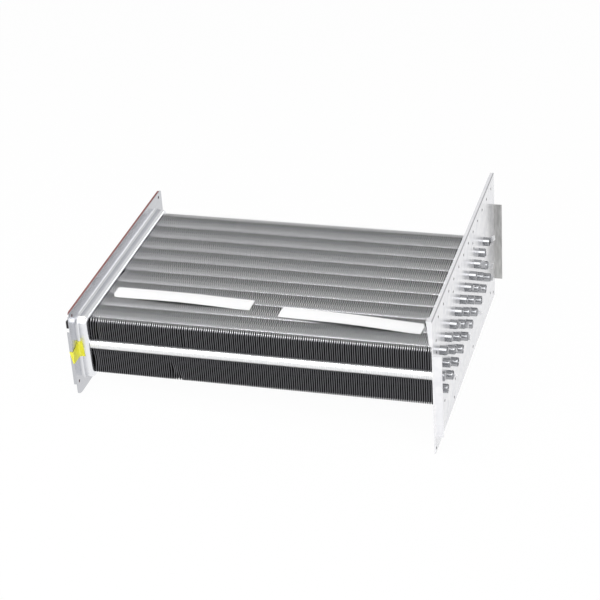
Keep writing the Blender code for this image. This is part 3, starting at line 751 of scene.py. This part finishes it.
def make_pan(metal):
    """The pressed pan: its wall's outline grown and shrunk along a profile of two round bends."""
    pan_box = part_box("collector_pan")
    low, high = pan_box
    face_x = high.x - PAN_DEPTH
    turn = np.linspace(0, math.pi / 2, BEND_STEPS + 1)
    arc = np.stack([np.cos(turn), np.sin(turn)], axis=1)
    wide = PAN_BEND + PAN_THICKNESS
    rim = np.array([high.x - wide, -wide])
    root = np.array([face_x + PAN_BEND, PAN_BEND])
    outside = np.concatenate([rim + wide * arc, root - PAN_BEND * arc[::-1]])
    inside = np.concatenate([root - wide * arc, rim + PAN_BEND * arc[::-1]])
    sides = (low.y, high.y), (low.z, high.z)
    corners = [CLIPPED_CORNER, FLANGE_CORNER, FLANGE_CORNER, FLANGE_CORNER]
    flange = [rounded_ring(x, *sides, corners) for x in (face_x, face_x - PAN_THICKNESS)]
    rings = [wall_ring(pan_box, *place) for place in outside] + flange
    points = np.stack(rings + [wall_ring(pan_box, *place) for place in inside])
    faces = capped_faces(*points.shape[:2])
    pan = new_piece("pressed_pan", points, faces, metal, "pan_steel", ("collector_pan",))

    top_in, top_down = FLANGE_TOP_HOLES
    low_in, low_up = FLANGE_LOW_HOLES
    places = [(y, high.z - top_down) for y in (low.y + top_in, high.y - top_in)]
    places += [(y, low.z + low_up) for y in (low.y + low_in, high.y - low_in)]
    for number, (y, z) in enumerate(places):
        drill_hole(pan, f"flange_hole_{number + 1}", face_x, y, z)


def make_lip(metal):
    """The pan's front lip: a strip run along Z, folded back in a quarter turn at the flange."""
    low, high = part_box("collector_pan")
    face_x = high.x - PAN_DEPTH
    turn = np.linspace(0, math.pi / 2, BEND_STEPS + 1)
    arc = np.stack([np.sin(turn), -np.cos(turn)], axis=1)
    outer = LIP_BEND + PAN_THICKNESS
    centre = np.array([face_x - outer, low.y + outer])
    end_x = face_x - PAN_THICKNESS - LIP_DEPTH
    end = [(end_x, low.y), (end_x, low.y + PAN_THICKNESS)]
    section = np.concatenate([centre + outer * arc[::-1], end, centre + LIP_BEND * arc])
    points = np.empty((2, len(section), 3))
    points[..., :2] = section
    points[..., 2] = np.array([low.z + LIP_BOTTOM_RISE, high.z - LIP_TOP_DROP])[:, None]
    new_piece("pan_front_lip", points, capped_faces(2, len(section)), metal, "pan_steel")


def drill_hole(piece, name, x, y, z):
    """Cuts a round hole, a circle about Y and Z run along X, and makes the cut part of the mesh."""
    angle = np.linspace(0, 2 * math.pi, HOLE_SIDES, endpoint=False)
    points = np.empty((2, HOLE_SIDES, 3))
    points[..., 0] = np.array([x - 2 * PAN_THICKNESS, x + PAN_THICKNESS])[:, None]
    points[..., 1] = y + FLANGE_HOLE / 2 * np.cos(angle)
    points[..., 2] = z + FLANGE_HOLE / 2 * np.sin(angle)
    mesh = closed_mesh(name, points, capped_faces(2, HOLE_SIDES))
    cutter = bpy.data.objects.new(name, mesh)
    bpy.context.scene.collection.objects.link(cutter)
    cut = piece.modifiers.new(name, "BOOLEAN")
    cut.operation = "DIFFERENCE"
    cut.object = cutter
    graph = bpy.context.evaluated_depsgraph_get()
    drilled = bpy.data.meshes.new_from_object(piece.evaluated_get(graph))
    piece.modifiers.remove(cut)
    piece.data = drilled
    bpy.data.objects.remove(cutter, do_unlink=True)


def make_tube_sheet(sheet_metal, flange_metal, hole_metal):
    """The folded plate: the solid's own mesh, merged, with its sheared edges softly rounded."""
    mesh = merged_copy("tube_sheet")
    mesh.materials.append(sheet_metal)
    mesh.materials.append(flange_metal)
    mesh.materials.append(hole_metal)
    count = len(mesh.polygons)
    centre, normal, area = np.empty(count * 3), np.empty(count * 3), np.empty(count)
    mesh.polygons.foreach_get("center", centre)
    mesh.polygons.foreach_get("normal", normal)
    mesh.polygons.foreach_get("area", area)
    x, y, _ = centre.reshape(-1, 3).T
    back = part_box("tube_sheet")[1].y
    on_flange = (x > BACK_FLANGE_START) & (y > back - BACK_FLANGE_DEPTH)
    in_hole = (np.abs(normal[::3]) < HOLE_WALL_LEAN) & (area < HOLE_WALL_AREA)
    in_hole &= (x > -HOLE_WALL_DEPTH) & (x < 0)
    mesh.polygons.foreach_set("material_index", np.where(in_hole, 2, on_flange).astype(np.int32))
    sheet = show("folded_tube_sheet", mesh, ("tube_sheet",))
    edge = sheet.modifiers.new("sheared_edges", "BEVEL")
    edge.width = SHEET_EDGE_ROUND
    edge.segments = SHEET_EDGE_STEPS
    edge.limit_method = "ANGLE"
    edge.angle_limit = SHEET_EDGE_ANGLE
    edge.use_clamp_overlap = True


def make_paper(name, material):
    """A paper strip: the solid's own mesh, merged and cut across, then bowed up off the fins.

    The lift is bow * sin^2(pi t) * (1 - tilt * s), as t runs along the strip and s across it.
    """
    low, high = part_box(name)
    mesh = merged_copy(name, np.linspace(low.x, high.x, PAPER_STEPS)[1:-1])
    points = np.empty(len(mesh.vertices) * 3)
    mesh.vertices.foreach_get("co", points)
    points = points.reshape(-1, 3)
    along = (points[:, 0] - low.x) / (high.x - low.x)
    across = (points[:, 1] - low.y) / (high.y - low.y)
    points[:, 2] += PAPER_BOW * np.sin(math.pi * along) ** 2 * (1 - PAPER_TILT * across)
    mesh.vertices.foreach_set("co", points.ravel())
    mesh.materials.append(material)
    shade(mesh)
    show(f"bowed_{name}", mesh, (name,))


def finish_cad_node(name, material):
    """Gives a node that keeps its own shape its finish."""
    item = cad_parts[name]
    item.data.materials.clear()
    item.data.materials.append(material)


def rest_floor():
    """A pale floor through the two edges that the part rests on; it keeps a soft shadow.

    It glows plain white to the camera, in reflections and through glass, and is matt otherwise.
    """
    sheet_low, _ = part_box("tube_sheet")
    pan_low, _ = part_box("collector_pan")
    slope = (pan_low.z - sheet_low.z) / pan_low.x
    x = np.array([-1, 1, 1, -1]) * FLOOR_REACH
    y = np.array([-1, -1, 1, 1]) * FLOOR_REACH
    mesh = bpy.data.meshes.new("floor")
    corners = np.stack([x, y, sheet_low.z + slope * x], axis=1)
    mesh.from_pydata(corners.tolist(), [], [(0, 1, 2, 3)])
    floor = bpy.data.objects.new("floor", mesh)
    bpy.context.scene.collection.objects.link(floor)
    material = bpy.data.materials.new("pale_floor")
    material.use_nodes = True
    tree = material.node_tree
    tree.nodes.clear()
    path = add_node(tree, "ShaderNodeLightPath")
    seen = {0: path.outputs["Is Camera Ray"], 1: path.outputs["Is Glossy Ray"]}
    seen = add_node(tree, "ShaderNodeMath", seen, operation="MAXIMUM").outputs[0]
    seen = {0: seen, 1: path.outputs["Is Transmission Ray"]}
    seen = add_node(tree, "ShaderNodeMath", seen, operation="MAXIMUM").outputs[0]
    share = {0: seen, 1: FLOOR_GLOW}
    share = add_node(tree, "ShaderNodeMath", share, operation="MULTIPLY").outputs[0]
    matt = add_node(tree, "ShaderNodeBsdfDiffuse", {"Color": linear("#f4f4f4")}).outputs[0]
    glow = {"Color": linear("#ffffff"), "Strength": 1.0}
    glow = add_node(tree, "ShaderNodeEmission", glow).outputs[0]
    mix = add_node(tree, "ShaderNodeMixShader", {0: share, 1: matt, 2: glow}).outputs[0]
    add_node(tree, "ShaderNodeOutputMaterial", {"Surface": mix})
    mesh.materials.append(material)


def surroundings():
    """White surroundings, as the camera sees them and through glass.

    In reflections they are a little dimmer at the back, and as light on the part they are weak.
    """
    world = bpy.data.worlds.new("studio")
    bpy.context.scene.world = world
    world.use_nodes = True
    tree = world.node_tree
    tree.nodes.clear()
    white = linear("#ffffff")
    path = add_node(tree, "ShaderNodeLightPath").outputs
    way = add_node(tree, "ShaderNodeTexCoord").outputs["Generated"]
    way = add_node(tree, "ShaderNodeSeparateXYZ", {"Vector": way}).outputs["Y"]
    shine = {"Value": way, "From Min": BACK_SHINE_FROM, "From Max": FRONT_SHINE_FROM}
    shine.update({"To Min": BACK_SHINE, "To Max": FRONT_SHINE})
    shine = add_node(tree, "ShaderNodeMapRange", shine, interpolation_type="SMOOTHSTEP")
    shine = {"Color": white, "Strength": shine.outputs["Result"]}
    shine = add_node(tree, "ShaderNodeBackground", shine).outputs[0]
    dim = {"Color": white, "Strength": ROOM_LIGHT}
    dim = add_node(tree, "ShaderNodeBackground", dim).outputs[0]
    plain = {"Color": white, "Strength": 1.0}
    plain = add_node(tree, "ShaderNodeBackground", plain).outputs[0]
    lit = {0: path["Is Glossy Ray"], 1: dim, 2: shine}
    lit = add_node(tree, "ShaderNodeMixShader", lit).outputs[0]
    seen = {0: path["Is Camera Ray"], 1: path["Is Transmission Ray"]}
    seen = add_node(tree, "ShaderNodeMath", seen, operation="MAXIMUM").outputs[0]
    mix = add_node(tree, "ShaderNodeMixShader", {0: seen, 1: lit, 2: plain}).outputs[0]
    add_node(tree, "ShaderNodeOutputWorld", {"Surface": mix})


def soft_lamp(name, place, aim, size, power):
    """A rectangular lamp turned from its place to its aim."""
    lamp = bpy.data.lights.new(name, "AREA")
    lamp.shape = "RECTANGLE"
    lamp.size, lamp.size_y = size
    lamp.energy = power
    item = bpy.data.objects.new(name, lamp)
    item.location = place
    x, y, z = np.subtract(place, aim)
    item.rotation_euler = (math.atan2(math.hypot(x, y), z), 0.0, math.atan2(y, x) + math.pi / 2)
    bpy.context.scene.collection.objects.link(item)


def photo_camera():
    """The photograph's viewpoint."""
    camera = bpy.data.cameras.new("photo_camera")
    camera.lens = CAMERA_LENS
    camera.sensor_width = SENSOR_WIDTH
    item = bpy.data.objects.new("photo_camera", camera)
    item.location = CAMERA_PLACE
    item.rotation_euler = [math.radians(a) for a in CAMERA_TURN]
    bpy.context.scene.collection.objects.link(item)
    bpy.context.scene.camera = item


bpy.context.scene.view_settings.view_transform = "Standard"
photo_camera()
surroundings()
for lamp in LAMPS:
    soft_lamp(*lamp)
rest_floor()
make_fin_pack(fin_face(), fin_edge())
make_tubes(stainless_tube(), hidden_collar(), open_collar(), strip_steel())
make_tube_sheet(galvanised_steel(), shaded_flange_zinc(), hole_wall_shade())
pan_metal = aluminised_sheet()
make_pan(pan_metal)
make_lip(pan_metal)
finish_cad_node("collector_gasket", fibre_gasket())
finish_cad_node("corner_seal", foam_rubber())
finish_cad_node("yellow_tape", vinyl_tape())
paper = smooth_paper()
make_paper("paper_strip_left", paper)
make_paper("paper_strip_right", paper)
